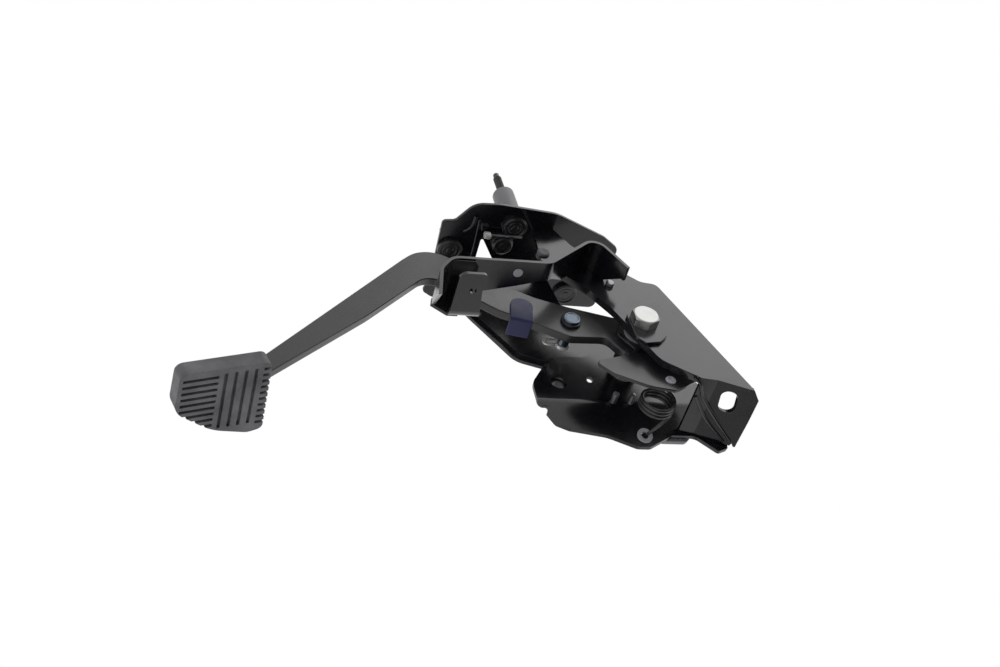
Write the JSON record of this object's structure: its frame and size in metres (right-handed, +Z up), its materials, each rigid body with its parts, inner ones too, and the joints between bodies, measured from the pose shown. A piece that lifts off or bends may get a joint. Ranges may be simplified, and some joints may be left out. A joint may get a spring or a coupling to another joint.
{
  "type": "clutch pedal",
  "caption": "Hanging vehicle pedal in a folded steel box, with bolt pivot, over-centre coil spring, clevis pin and ribbed rubber pad.",
  "frame": {"origin": "on the upper stud's axis, where the face of its spacer meets the bulkhead", "axes": "+Y forward through the bulkhead, along the studs; +Z up; +X to the right, along the pivot bolt"},
  "size_m": [0.1003, 0.2417, 0.374],
  "materials": {
    "black_paint": "gloss black electrocoat",
    "pedal_paint": "gloss black electrocoat",
    "zinc": "bright zinc plate",
    "grey_plastic": "mid grey moulded",
    "white_plastic": "white moulded acetal",
    "bush_plastic": "natural acetal",
    "clip_finish": "blue-violet moulded nylon",
    "dark_steel": "dark phosphated steel",
    "spring_steel": "dark phosphated spring steel",
    "pad_rubber": "matte moulded rubber"
  },
  "bodies": {
    "bracket": {"pedal_bracket": "black_paint", "bulkhead_plate": "black_paint", "side_plate": "black_paint", "bridge_strap": "black_paint", "upper_stud": "dark_steel", "lower_stud": "dark_steel", "right_stud": "dark_steel", "stud_spacer": "grey_plastic", "pivot_bolt": "zinc", "lock_plate": "black_paint", "pivot_nut": "zinc", "ear_nut": "dark_steel", "strap_rivet": "zinc", "cheek_screw": "zinc", "spring_bush": "white_plastic", "skirt_buffer": "grey_plastic", "return_buffer": "pad_rubber", "over_centre_spring": "spring_steel"},
    "pedal": {"pedal_arm": "pedal_paint", "pivot_tube": "pedal_paint", "left_pivot_bush": "bush_plastic", "right_pivot_bush": "bush_plastic", "spring_lever": "pedal_paint", "lever_rivet": "zinc", "clevis_pin": "zinc", "pin_collar": "dark_steel", "hairpin_clip": "zinc", "stop_clip": "clip_finish", "pedal_pad": "pad_rubber", "pad_plate": "pedal_paint"}
  },
  "joints": [
    {"name": "pedal_pivot", "type": "hinge", "parent": "bracket", "child": "pedal", "pos_m": [0.025, -0.1375, 0.067], "axis": [1, 0, 0], "range_deg": [-24, 0], "stiffness_Nm_per_rad": 3, "springref_deg": 20.05, "deforming": ["over_centre_spring"]}
  ]
}
